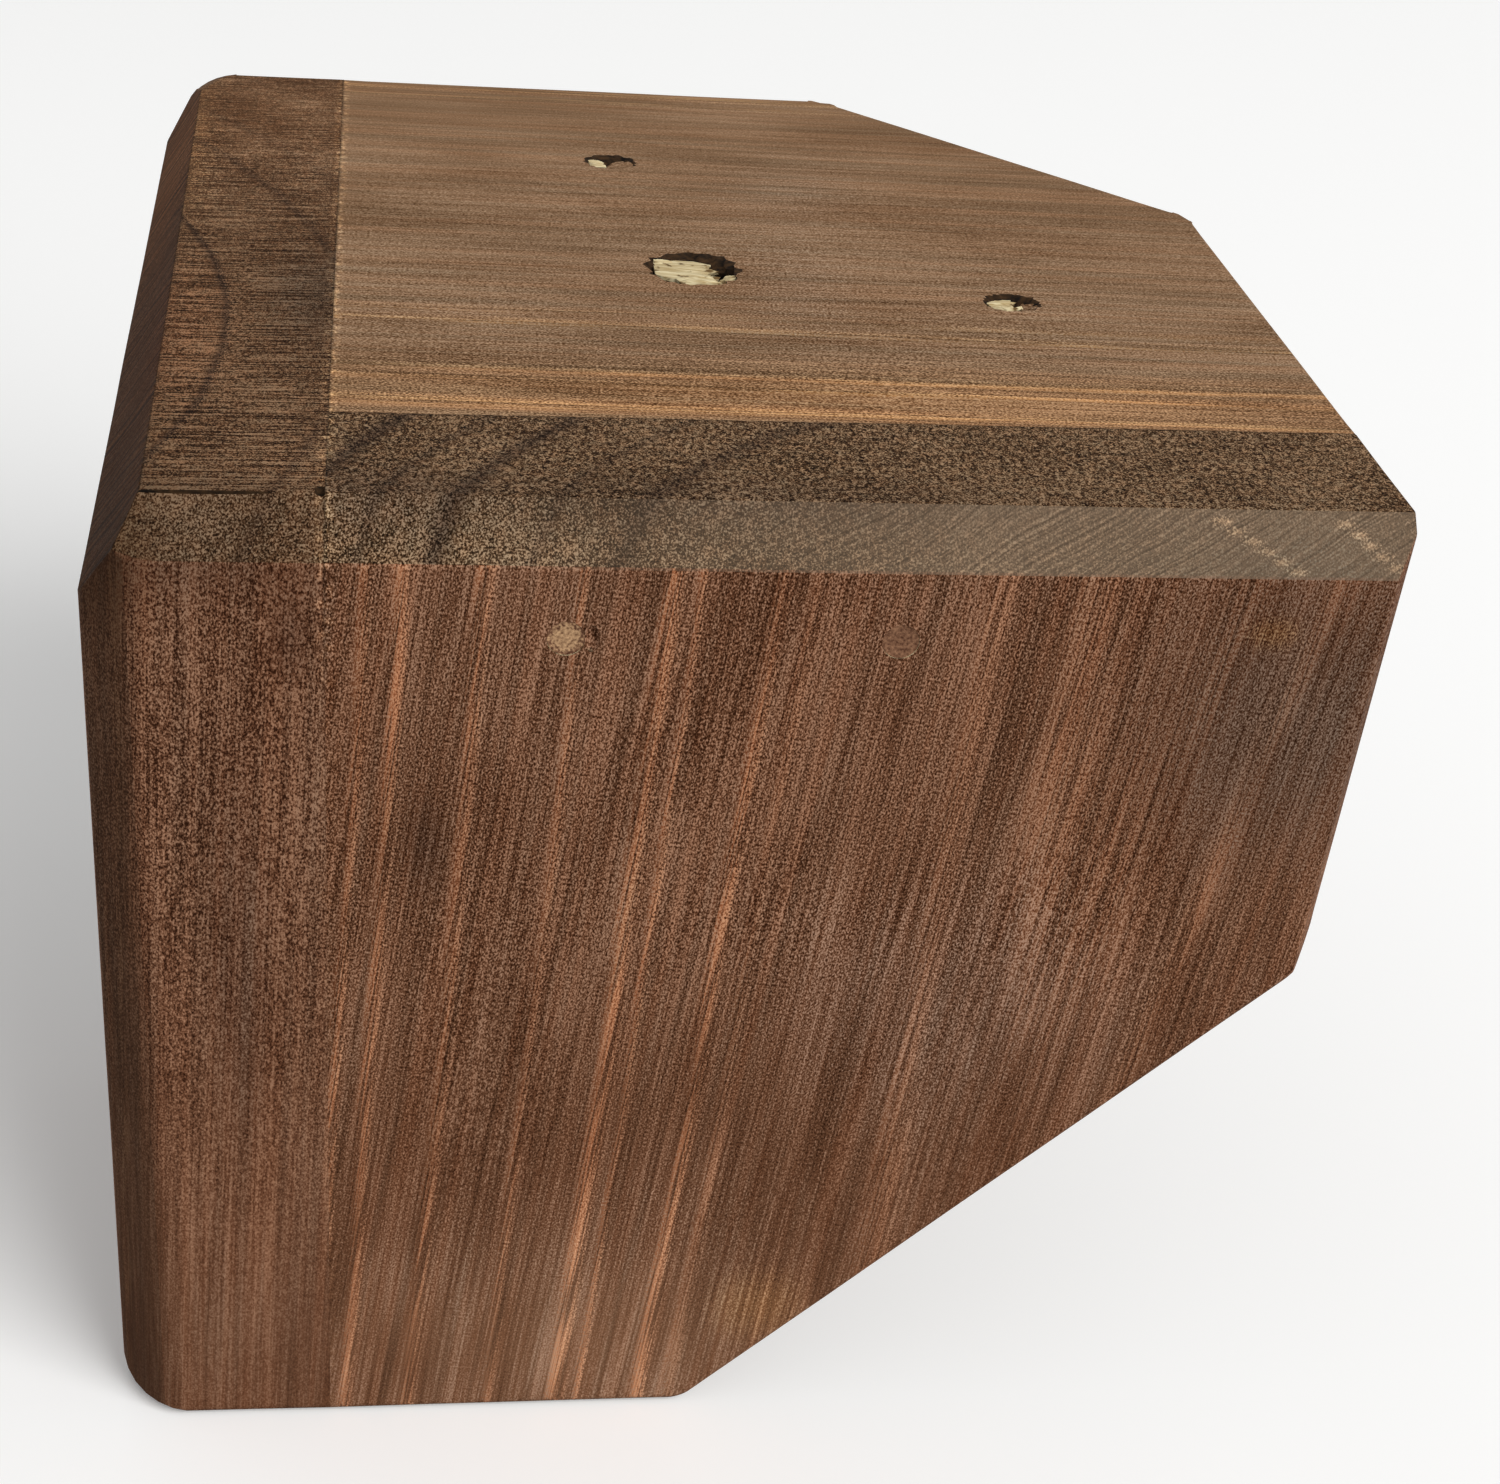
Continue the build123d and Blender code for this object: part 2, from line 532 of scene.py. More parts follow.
# %% [markdown]
# ## Nail pockets and small damage
#
# Finishing nails were driven through both boards into the block and filled over, so each board has
# stepped pockets for them. The imported nails and plugs are the best cutters for their own pockets: a
# copy of each is merged, because a imported mesh is loose triangles, and taken away with a boolean.
# Beside the first plug the wood is dented, and the side board has a short split along its chamfer
# and a small pit, both lined with wood painted nearly black as shade.

# %% Cut the pockets
bare_pine = bpy.data.materials.new("bare_pine")
shade_painted_pine = bpy.data.materials.new("pine_in_painted_shade")
stained = {}
boards = {"side_board": side_board, "front_board": front_board, "corner_block": block}
for board, piece in boards.items():
    stained[board] = bpy.data.materials.new(f"stained_pine_{board}")
    piece.data.materials.append(stained[board])


def cutter_from(node):
    """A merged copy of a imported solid, to cut with."""
    cutter = bpy.data.objects.new("cutter", frame["nodes"][node].data.copy())
    cutter.data.materials.clear()
    cutter.data.materials.append(bare_pine)
    bpy.context.scene.collection.objects.link(cutter)
    edit(cutter)
    bpy.ops.mesh.select_all(action="SELECT")
    bpy.ops.mesh.remove_doubles(threshold=1e-6)
    done()
    return cutter


def cut_with(cutter, *pieces):
    """Take a cutter's shape out of each piece, and throw the cutter away."""
    for piece in pieces:
        apply(piece, "BOOLEAN", operation="DIFFERENCE", solver="EXACT", object=cutter,
              material_mode="TRANSFER")
    bpy.data.objects.remove(cutter)


unevenness = 0.04


def pebble(place, size, finish, seed):
    """An uneven lump to press a dent with."""
    lump = primitive("lump", "ico_sphere", subdivisions=3, radius=0.5, location=place, scale=size)
    edit(lump)
    bpy.ops.mesh.select_all(action="SELECT")
    bpy.ops.transform.vertex_random(offset=unevenness * min(size), seed=seed)
    done()
    lump.data.materials.append(finish)
    return lump


for side, board in (("front", front_board), ("side", side_board)):
    for kind in ("nails", "nail_fillers"):
        cut_with(cutter_from(f"{side}_{kind}"), board, block)
print("pockets for two nails and two plugs on each side")

# %% Press the dent and open the split
plug_drop = 13.5 * MM
plug_runs = (-19 * MM, 16 * MM)
dent_place = Vector((plug_runs[0] + 2.7 * MM, outer, top - plug_drop))
dent_size = Vector((1.6, 1.2, 3.2)) * MM
split_place = Vector((outer + 12.5 * MM, outer + front_chamfer, top))
split_size = Vector((15, 0.5, 1.8)) * MM
pit_place = Vector((inner - 0.4 * MM, outer + front_chamfer + 0.5 * MM, top))
pit_size = Vector((1.3, 1.8, 1.4)) * MM
cut_with(pebble(dent_place, dent_size, stained["front_board"], 3), front_board)
# The split and the pit are lined with pine painted nearly black as shade
cut_with(pebble(split_place, split_size, shade_painted_pine, 4), side_board)
cut_with(pebble(pit_place, pit_size, shade_painted_pine, 5), side_board)
for piece in boards.values():
    print(piece.name, len(piece.data.polygons), "faces with pockets,", open_edges(piece), "open edges")

# %% [markdown]
# ## Torn drill holes
#
# The holes were drilled up through the block from below, and where the drill broke out of the top
# it tore the wood along the grain. A clean cylinder would look like a machined part. Each drill is a
# cylinder whose upper end is extruded, spread wider along the grain than across it, and shaken with
# a seeded draw, and then it is cut from the block. The cut walls get a near-black finish of their
# own, painted shade that makes the holes look deep.

# %% Drill the block
bolt_hole = 10 * MM
screw_hole = 5 * MM
screw_near = outer + 61 * MM
screw_far = outer + 107 * MM
drill_sides = 48
drill_overrun = 4 * MM
tear_depth = 1.3 * MM
shake_in, shake_out, shake_along = 0.06, 0.05, 0.12  # shares of the radius
tear_steps = ((0.5, 0.4), (0.5, 0.6), (0.6, 0.2))  # shares of the depth and of the spread


def drill(place, bore, spread_along, spread_across, drift, seed):
    """A drill with an upper end that is torn wider and drifts backward, standing in its hole."""
    low = block_low.z - drill_overrun
    high = top - tear_depth
    middle = Vector((place.x, place.y, (low + high) / 2))
    cutter = primitive("drill", "cylinder", vertices=drill_sides, radius=bore / 2, depth=high - low,
                       location=middle)
    pick_end(cutter, Vector((0, 0, 1)))
    for climb, share in tear_steps:
        rise = (0, share * drift, climb * tear_depth)
        bpy.ops.mesh.extrude_region_move(TRANSFORM_OT_translate={"value": rise})
        wider = (1 + share * spread_along, 1 + share * spread_across, 1)
        bpy.ops.transform.resize(value=wider, center_override=place)
    done()
    draw = random.Random(seed)
    for vertex in cutter.data.vertices:
        if vertex.co.z > high - near:
            away = Vector((vertex.co.x - place.x, vertex.co.y - place.y, 0))
            along_grain = abs(away.normalized().x)
            vertex.co += away * draw.uniform(-shake_in, shake_out + shake_along * along_grain)
    # The hole walls get pine painted nearly black as shade
    cutter.data.materials.append(shade_painted_pine)
    return cutter


# Middle, bore, spread along and across the grain, drift and seed of each hole
holes = (
    (Vector((0, 0, top)), bolt_hole, 0.1, 0.1, 1.4 * MM, 11),
    (Vector((screw_near, screw_far, top)), screw_hole, 0.3, 0.1, 1.2 * MM, 12),
    (Vector((screw_far, screw_near, top)), screw_hole, 0.4, 0.1, 0.7 * MM, 13),
)
for hole in holes:
    cut_with(drill(*hole), block)
print("block", len(block.data.polygons), "faces with holes,", len(block.data.materials), "finishes")

# %% [markdown]
# ## Torn tongues
#
# Wood was left hanging in the holes: the drill lifted the last fibres of the bolt hole into a bare
# tongue that nearly closes it, and each screw hole keeps a small bare one and a stained one. Carving
# one by hand would take long. A tongue tears along its fibres, so a flat grid is cut into strips that
# run along the grain, each strip gets its own length and height, and a solidify modifier gives it
# thickness.

# %% Tear the tongues
strips = 9
strip_steps = 10
shortest_strip = 0.55
tip_round = 0.7
strip_sag = 0.7 * MM
strip_fuzz = 0.05 * MM
tongue_thickness = 0.45 * MM


def tongue(place, size, heading, dip, finish, seed):
    """A ragged tongue of fibres that starts at a place and dips into its hole."""
    piece = primitive("tongue", "grid", x_subdivisions=strip_steps, y_subdivisions=strips, size=1)
    draw = random.Random(seed)
    reaches = [draw.uniform(shortest_strip, 1.0) for strip in range(strips + 1)]
    lifts = [draw.uniform(-strip_sag, 0.0) for strip in range(strips + 1)]
    turned = Quaternion((0, 0, 1), math.radians(heading))
    for vertex in piece.data.vertices:
        strip = round((vertex.co.y + 0.5) * strips)
        along = (vertex.co.x + 0.5) * reaches[strip]
        half_round = math.sqrt(1 - tip_round * (2 * along - 1) ** 2)
        height = lifts[strip] * along + dip * MM * along ** 2 + draw.uniform(-strip_fuzz, 0.0)
        shaped = Vector((along * size[0] * MM, vertex.co.y * half_round * size[1] * MM, height))
        vertex.co = place + turned @ shaped
    apply(piece, "SOLIDIFY", thickness=tongue_thickness, offset=-1)
    piece.data.materials.append(finish)
    return piece


bare, skin = bare_pine, stained["corner_block"]
# Start measured from the hole's middle, length and width, heading in degrees, dip and finish
tongues_in = (
    (((-4.7, 2.0, -0.45), (9.0, 6.6), 0, -0.5, bare), ((-2.0, -2.2, -0.35), (6.6, 3.6), 20, -0.4, bare),
     ((-4.6, 4.6, -0.2), (2.6, 1.3), -4, -0.2, bare), ((5.2, -0.6, -0.2), (2.2, 1.0), 168, -0.6, bare)),
    (((-2.9, 1.9, -0.3), (2.4, 1.5), 4, -0.3, bare), ((3.1, 0.9, -0.35), (4.4, 4.0), 180, -0.9, skin)),
    (((-2.9, 0.2, -0.25), (4.4, 2.5), 16, -0.1, bare), ((3.5, 0.5, -0.35), (3.0, 3.4), 178, -0.9, skin)),
)
tongues = []
for hole, listed in zip(holes, tongues_in):
    for seed, (start, size, heading, dip, finish) in enumerate(listed):
        tongues.append(tongue(hole[0] + Vector(start) * MM, size, heading, dip, finish, seed))
select(block, *tongues)
bpy.ops.object.join()
print("block with", len(tongues), "tongues,", open_edges(block), "open edges")

# %% [markdown]
# ## Putty plugs
#
# Each nail head is covered by a plug of wood putty that shrank as it dried, so it lies a little
# below the face and has a rough, dished top. A plug is a short cylinder. Its outer end is inset
# twice, the middle is pushed in, and the end is roughened. It is modelled once and copied.

# %% Model the plugs
plug_radius = 2 * MM
plug_length = 2 * MM
plug_slack = 0.03 * MM
plug_sink = 0.12 * MM
plug_sides = 32
plug_rings = (0.25 * MM, 0.5 * MM, 0.5 * MM)
ring_dip = 0.05 * MM
plug_grit = 0.06 * MM
nail_stagger = 6 * MM


def plug(name, place, into, seed):
    """A dished plug that starts at a place on a face and goes into it."""
    piece = primitive(
        name, "cylinder", vertices=plug_sides, radius=plug_radius - plug_slack,
        depth=plug_length - plug_sink - plug_slack, location=place + into * (plug_length + plug_sink) / 2,
        rotation=into.to_track_quat("Z", "Y").to_euler())
    pick_end(piece, -into)
    for thickness in plug_rings:
        bpy.ops.mesh.inset(thickness=thickness, depth=-ring_dip)
    bpy.ops.mesh.poke()
    bpy.ops.mesh.select_more()
    bpy.ops.mesh.select_more()
    bpy.ops.transform.vertex_random(offset=plug_grit, seed=seed)
    done()
    return piece


plugs = {}
for side, into in (("front", Vector((0, 1, 0))), ("side", Vector((1, 0, 0)))):
    drop = plug_drop if side == "front" else plug_drop + nail_stagger
    pair = []
    for index, run in enumerate(plug_runs):
        place = turn(Vector((run, outer, top - drop)), side == "side")
        pair.append(plug(f"{side}_putty", place, into, index))
    select(*pair)
    bpy.ops.object.join()
    plugs[side] = pair[0]
    print(pair[0].name, len(pair[0].data.polygons), "faces")

# %% [markdown]
# ## Hand the pieces to the frame
#
# Every new piece rides on the leg's one body and stands for the imported solid that it was cut from.
# The nails stay as packed, because they are hidden in the wood and their shape is right.

# %% Ride and replace
replaced = {
    side_board: ("stained_pine", "side_board"),
    front_board: ("stained_pine", "front_board"),
    block: ("stained_pine", "corner_block"),
    plugs["front"]: ("wood_putty", "front_nail_fillers"),
    plugs["side"]: ("wood_putty", "side_nail_fillers"),
}
smooth_angle = math.radians(28)
for piece, (slot, node) in replaced.items():
    select(piece)
    bpy.ops.object.shade_smooth_by_angle(angle=smooth_angle)
    apply(piece, "WEIGHTED_NORMAL", keep_sharp=True)
    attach(piece, "root")
    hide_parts(node)
    print(piece.name, "stands for", node)

# %% [markdown]
# ## Floor and light
#
# The leg stands on a plain pale floor in soft studio light: one large lamp high on the right, in
# front, and a bright even surround. The lamps are set so that a colour renders about as it is
# written. The floor and the surround look white to the camera and to reflections. To the wood's own
# faces the floor is a light grey, because white paper close by would lift every shadow.

# %% Lay the floor
floor_reach = 6.0
floor_gap = 0.05 * MM
stage_floor = primitive("floor", "plane", size=floor_reach, location=(0, 0, floor - floor_gap))
print("floor", floor_reach, "m wide")

# %% Colours and nodes
# Inputs in order: a map range takes a value, the range it comes from and the range it goes to.
# A mix of two colours has its inputs further on.
FACTOR, FIRST, SECOND = 0, 6, 7


def linear(code):
    """The linear colour of an sRGB hex value."""
    shares = [int(code[index:index + 2], 16) / 255 for index in (0, 2, 4)]
    curved = [value / 12.92 if value <= 0.04045 else ((value + 0.055) / 1.055) ** 2.4 for value in shares]
    return curved + [1]


def nodes_of(owner):
    """Empty the nodes of a material or a world, and give back the function that adds to them."""
    owner.use_nodes = True
    tree = owner.node_tree
    tree.nodes.clear()

    def add(kind, inputs=(), out=None, **settings):
        """Add a node of a kind, or of a kind and an operation, with its inputs by name or in its own
        order, and give back one of its outputs."""
        kind, _, operation = kind.partition(":")
        node = tree.nodes.new("ShaderNode" + kind)
        if operation:
            node.operation = operation
        for name, value in settings.items():
            setattr(node, name, value)
        for key, value in inputs.items() if isinstance(inputs, dict) else enumerate(inputs):
            if isinstance(value, bpy.types.NodeSocket):
                tree.links.new(value, node.inputs[key])
            else:
                node.inputs[key].default_value = value
        shown = [socket for socket in node.outputs if socket.enabled]
        return node.outputs[out] if out else (shown[0] if shown else None)

    return add


def seen_directly(add):
    """One where the camera looks, straight, in a reflection or through glass, and zero elsewhere."""
    seen = add("LightPath", out="Is Camera Ray")
    for kind in ("Is Glossy Ray", "Is Transmission Ray"):
        seen = add("Math:MAXIMUM", [seen, add("LightPath", out=kind)])
    return seen


print("white is", linear("ffffff"))

# %% Surround and lamp
fill_strength = 0.42
lamp_power = 190.0
lamp_size = 3.2
lamp_place = Vector((2.4, -2.9, 2.8))

world = bpy.data.worlds.new("studio")
bpy.context.scene.world = world
add = nodes_of(world)
strength = add("MapRange", [seen_directly(add), 0, 1, fill_strength, 1.0])
surround = add("Background", {"Color": linear("ffffff"), "Strength": strength})
add("OutputWorld", {"Surface": surround})

lamp_data = bpy.data.lights.new("lamp", "AREA")
lamp_data.energy = lamp_power
lamp_data.size = lamp_size
lamp = bpy.data.objects.new("lamp", lamp_data)
lamp.location = lamp_place
lamp.rotation_mode = "QUATERNION"
lamp.rotation_quaternion = (camera_aim - lamp_place).to_track_quat("-Z", "Y")
bpy.context.scene.collection.objects.link(lamp)

bpy.context.scene.view_settings.view_transform = "Standard"
print("lamp", round((camera_aim - lamp_place).length, 1), "m away")

# %% Finish the floor
# Matt paper: a soft shadow and no mirror image, so the eye takes it as plain background.
paper_glow = 0.12
paper = bpy.data.materials.new("matt_paper")
add = nodes_of(paper)
paper_colour = add("Mix",
                   {FACTOR: seen_directly(add), FIRST: linear("b4b4b2"), SECOND: linear("fdfdfc")},
                   data_type="RGBA")
glow = add("Math:MULTIPLY", [seen_directly(add), paper_glow])
matt = add("BsdfPrincipled",
           {"Base Color": paper_colour, "Roughness": 0.9, "Specular IOR Level": 0.1,
            "Emission Color": linear("ffffff"), "Emission Strength": glow})
add("OutputMaterial", {"Surface": matt})
stage_floor.data.materials.append(paper)
print("floor wears", paper.name)

# %% [markdown]
# ## Stained pine
#
# The boards are pine under a dark walnut stain, sanded matt. Stain soaks into the soft wood and
# leaves the hard growth lines lighter, so the streaks are orange on brown. A board could be painted
# face by face. Here the wood is solid instead: each board has its pith, the growth lines are cones
# about it, and every sawn face shows them where it cuts them, as streaks along the grain and as arcs
# on the end grain. Fibres, speckle and mottling are noise stretched along the grain, in millimetres.
# Rubbing marks and flecks of glue lie across the boards instead, so their noise keeps to the leg's axes.

# %% Patterns of the wood
pattern_sizes = {
    "fibre": (0.3, 0.3, 20),
    "strand": (1.3, 1.3, 60),
    "speckle": (0.19, 0.19, 0.3),  # raised fibres and dust, drawn coarser than they are, to show
    "mottle": (11, 11, 34),
    "bend": (16, 16, 70),
}
mark_sizes = {
    "scratch": (9, 0.4, 9),
    "fleck": (1.1, 1.1, 1.1),
    "grit": (0.55, 0.8, 0.8),  # dust in the end grain of the level top, drawn coarser too
}
roughest = (0, -66, -18)
roughness_reach = (190, 130, 88)


def wood_patterns(add, in_mm, grain):
    """Every noise that the wood needs, by name, along the grain or along the leg's axes."""
    patterns = {}
    for space, sizes in ((grain, pattern_sizes), (in_mm, mark_sizes)):
        for name, size in sizes.items():
            sized = add("VectorMath:DIVIDE", [space, size])
            patterns[name] = add("TexNoise", {"Vector": sized, "Scale": 1.0, "Detail": 2.0})
    return patterns


def distance_from(add, in_mm, middle, size):
    """Distance from a place, as a share of a reach that may differ along X, Y and Z."""
    apart = add("VectorMath:SUBTRACT", [in_mm, middle])
    apart = add("VectorMath:DIVIDE", [apart, size])
    return add("VectorMath:LENGTH", [apart], "Value")


print(len(pattern_sizes) + len(mark_sizes), "patterns")

# %% Growth lines and end grain
bend_width = 0.9
fray_width = 1.2
end_grain_starts = 0.5
end_grain_full = 0.68


def about_middle(add, total, pattern, share):
    """A total with a share of a pattern added, above and below the pattern's middle."""
    wave = add("Math:SUBTRACT", [pattern, 0.5])
    return add("Math:MULTIPLY_ADD", [wave, share, total])


def ring_radius(add, grain, patterns, taper):
    """Distance from the pith in millimetres, for cones that widen down the trunk, wander and fray."""
    across = add("VectorMath:MULTIPLY", [grain, (1, 1, 0)])
    reach = add("VectorMath:LENGTH", [across], "Value")
    along = add("SeparateXYZ", [grain], "Z")
    cone = add("Math:MULTIPLY_ADD", [along, -taper, 1.0])
    ring = add("Math:MULTIPLY", [reach, cone])
    for name, spread_mm in (("bend", bend_width), ("speckle", fray_width)):
        ring = about_middle(add, ring, patterns[name], 2 * spread_mm)
    return ring


def growth_lines(add, ring, listed):
    """How far a point lies in one of the listed lines: radius, half width and strength of each."""
    strongest = 0.0
    for radius, half_width, share in listed:
        off = add("Math:SUBTRACT", [ring, radius])
        off = add("Math:ABSOLUTE", [off])
        line = add("MapRange", [off, 0, half_width, share, 0.0], interpolation_type="SMOOTHSTEP")
        strongest = add("Math:MAXIMUM", [strongest, line])
    return strongest


def end_grain_share(add, facing, grain_turn):
    """One on a face cut across the grain, and zero on a face along it."""
    turned = add("VectorRotate", {"Vector": facing, "Rotation": grain_turn},
                 rotation_type="EULER_XYZ", invert=True)
    square = add("SeparateXYZ", [turned], "Z")
    square = add("Math:ABSOLUTE", [square])
    return add("MapRange", [square, end_grain_starts, end_grain_full], interpolation_type="SMOOTHSTEP")


print("end grain starts at", round(math.degrees(math.acos(end_grain_starts))), "degrees from the grain")

# %% [markdown]
# ## Marks on the stain
#
# Stain and hands left smudges, the saw left fine ridges on the chamfers, and glue was squeezed out along
# the joints. Each could be modelled, but none is deeper than a hair. They are tints of the wood's
# colour here: a ragged ball for a smudge, stripes for the saw, and thin bands for the glue. Some
# ragged balls and the chamfers' own colours are painted shade, and the front chamfer has a painted sheen.

# %% Smudges and painted shade
smudge_and_shade_rag = 0.7
smudge_and_shade_fade = (-0.3, 0.65)


def tinted(add, colour, mark, gains):
    """A colour made lighter or darker by a gain for red, green and blue, where there is a mark."""
    shift = add("VectorMath:MULTIPLY_ADD", [mark, [gain - 1 for gain in gains], (1, 1, 1)])
    return add("VectorMath:MULTIPLY", [colour, shift])


def smudged_and_shaded(add, colour, in_mm, tone, smudges_and_shade):
    """A colour with ragged smudges and patches of painted shade: middle, reach and gains of each."""
    for middle, size, gains in smudges_and_shade:
        apart = distance_from(add, in_mm, middle, size)
        ragged = add("Math:MULTIPLY_ADD", [tone, -smudge_and_shade_rag, apart])
        mark = add("MapRange", [ragged, *smudge_and_shade_fade, 1.0, 0.0], interpolation_type="SMOOTHSTEP")
        colour = tinted(add, colour, mark, gains)
    return colour


print("smudges ready")

# %% Saw marks, painted chamfer shade and sheen, and glue lines
saw_step = 0.36
saw_wander = 4.0
stripe_range = (0.3, 0.7)
toward_fade = (0.88, 0.96)
glue_heights = (-22, -8)
least_glue = 0.15
# Half width of a line, the noise where it starts and where it is full, and its gains
glue_line = (1.1, 0.47, 0.6, (2.5, 2.6, 2.5))
gap_line = (0.3, 0.3, 0.5, (0.35, 0.35, 0.35))
lines_at = {"X": (glue_line, gap_line), "Y": (gap_line,)}


def with_saw_marks_and_painted_light(add, colour, in_mm, facing, bend, sawn):
    """A colour with the saw's marks on a face: its normal, the way across the marks, where they start
    and are full along the front, the face's colour, which also paints shade or sheen, and its share,
    and the marks' depth."""
    for normal, across_marks, starts, full, code, share, depth in sawn:
        toward = add("VectorMath:DOT_PRODUCT", [facing, normal], "Value")
        toward = add("MapRange", [toward, *toward_fade])
        run = add("SeparateXYZ", [in_mm], "X")
        marked = add("MapRange", [run, starts, full, 0, toward])
        covered = add("Math:MULTIPLY", [marked, share])
        # The face's colour is partly painted light: shade on the side board's chamfers, sheen on the front
        # one
        colour = add("Mix", {FACTOR: covered, FIRST: colour, SECOND: linear(code)}, data_type="RGBA")
        step = add("VectorMath:DOT_PRODUCT", [in_mm, across_marks], "Value")
        step = add("Math:MULTIPLY_ADD", [bend, saw_wander, step])
        stripes = add("TexNoise", {"W": step, "Scale": 1 / saw_step, "Detail": 1.0},
                      noise_dimensions="1D")
        wave = add("MapRange", [stripes, *stripe_range, -1.0])
        wave = add("Math:MULTIPLY", [wave, marked])
        colour = tinted(add, colour, wave, [1 + depth] * 3)
    return colour


def glue_lined(add, colour, in_mm, fleck, glued):
    """A colour with a fine dark gap along the board's glue lines, and flecks of glue beside the first."""
    height = add("SeparateXYZ", [in_mm], "Z")
    near_top = add("MapRange", [height, *glue_heights, least_glue])
    for axis in glued:
        off = add("SeparateXYZ", [in_mm], axis)
        off = add("Math:SUBTRACT", [off, inner / MM])
        off = add("Math:ABSOLUTE", [off])
        for reach, low, high, gains in lines_at[axis]:
            close = add("MapRange", [off, 0, reach, near_top, 0.0])
            here = add("MapRange", [fleck, low, high, 0, close])
            colour = tinted(add, colour, here, gains)
    return colour


print("saw marks about", saw_step, "mm apart")

# %% [markdown]
# ## The recipe for a board
#
# On the real leg one stain lies on three boards that were sawn differently, so one function stains
# them all, from a board's pith, its growth lines and its marks. The noises add up to one tone, and the
# tone picks the colour from dark to pale, for long grain, streaks, end grain and arcs. The speckle is
# strongest on the upper front and fades towards the foot and the back, where hands rubbed it smooth.

# %% The recipe
pattern_shares = {"fibre": 1.1, "strand": 0.3, "speckle": 3.1, "mottle": 0.5}
fade_reach = (0.35, 1.05)
least_speckle = 0.25
least_fibre = 0.6
level_fade = (0.9, 0.98)
strand_range = (0.42, 0.56)
worn_range = (0.3, 0.55)
least_streak = 0.35
warm_range = (0.3, 0.7)
matt_range = (0.85, 0.7)
sheen = 0.04
relief_share = 2.8
relief_strength = 0.35
relief_depth = 0.08 * MM
tone_stops = (0.02, 0.5, 0.98)
warm_gains = (1.05, 0.985, 0.94)
# Painted shade: gains that darken the level end grain on the tops, as if less light fell there
painted_top_shade_gains = (0.96, 0.91, 0.86)


def stained_pine(board, pith, grain_turn, taper, tones, streaks, arcs, smudges_and_shade, sawn, glued, level_shares):
    """Stain one board: growth lines about its pith, fibres, speckle, end grain, marks and glue lines."""
    add = nodes_of(stained[board])
    place = add("TexCoord", out="Object")
    in_mm = add("VectorMath:DIVIDE", [place, (MM, MM, MM)])
    grain = add("Mapping", {"Vector": in_mm, "Location": pith, "Rotation": grain_turn},
                vector_type="TEXTURE")
    facing = add("NewGeometry", out="True Normal")
    patterns = wood_patterns(add, in_mm, grain)
    end_share = end_grain_share(add, facing, grain_turn)

    smooth = distance_from(add, in_mm, roughest, roughness_reach)
    rough_share = add("MapRange", [smooth, *fade_reach, 1.0, least_speckle])
    upward = add("SeparateXYZ", [facing], "Z")
    level = add("MapRange", [upward, *level_fade])
    level = add("Math:MULTIPLY", [level, end_share])
    fine_share = add("MapRange", [smooth, *fade_reach, 1.0, least_fibre])
    rubbed = add("Math:MULTIPLY", [level, rough_share])
    fading = {"speckle": rough_share, "fibre": fine_share, "scratch": rubbed, "grit": rubbed}
    tone = 0.5
    for name, share in {**pattern_shares, **level_shares}.items():
        strength = add("Math:MULTIPLY", [fading.get(name, 1.0), share])
        tone = about_middle(add, tone, patterns[name], strength)

    ring = ring_radius(add, grain, patterns, taper)
    stranded = add("MapRange", [patterns["fibre"], *strand_range])
    worn = add("MapRange", [patterns["mottle"], *worn_range, least_streak])
    glow = add("Math:MULTIPLY", [growth_lines(add, ring, streaks), stranded])
    glow = add("Math:MULTIPLY", [glow, worn])

    colours = {}
    for name, codes in tones.items():
        colours[name] = add("ValToRGB", {"Fac": tone})
        stops = colours[name].node.color_ramp.elements
        stops.new(0.5)
        for stop, position, code in zip(stops, tone_stops, codes):
            stop.position = position
            stop.color = linear(code)
    long_grain = add("Mix", {FACTOR: glow, FIRST: colours["long"], SECOND: colours["streak"]},
                     data_type="RGBA")
    end_grain = add("Mix",
                    {FACTOR: growth_lines(add, ring, arcs), FIRST: colours["end"], SECOND: colours["arc"]},
                    data_type="RGBA")
    colour = add("Mix", {FACTOR: end_share, FIRST: long_grain, SECOND: end_grain}, data_type="RGBA")
    warmth = add("MapRange", [patterns["strand"], *warm_range, -1.0])
    colour = tinted(add, colour, warmth, warm_gains)
    # Painted shade on the level end grain of the tops
    colour = tinted(add, colour, level, painted_top_shade_gains)
    colour = with_saw_marks_and_painted_light(add, colour, in_mm, facing, patterns["bend"], sawn)
    colour = smudged_and_shaded(add, colour, in_mm, tone, smudges_and_shade)
    colour = glue_lined(add, colour, in_mm, patterns["fleck"], glued)

    relief = add("Math:MULTIPLY_ADD", [patterns["speckle"], relief_share, patterns["fibre"]])
    strength = add("Math:MULTIPLY", [rough_share, relief_strength])
    bump = add("Bump", {"Height": relief, "Strength": strength, "Distance": relief_depth})
    rough = add("MapRange", [tone, 0, 1, *matt_range])
    wood = add("BsdfPrincipled",
               {"Base Color": colour, "Roughness": rough, "Normal": bump, "Specular IOR Level": sheen})
    add("OutputMaterial", {"Surface": wood})
    print(board, "finish has", len(stained[board].node_tree.nodes), "nodes")


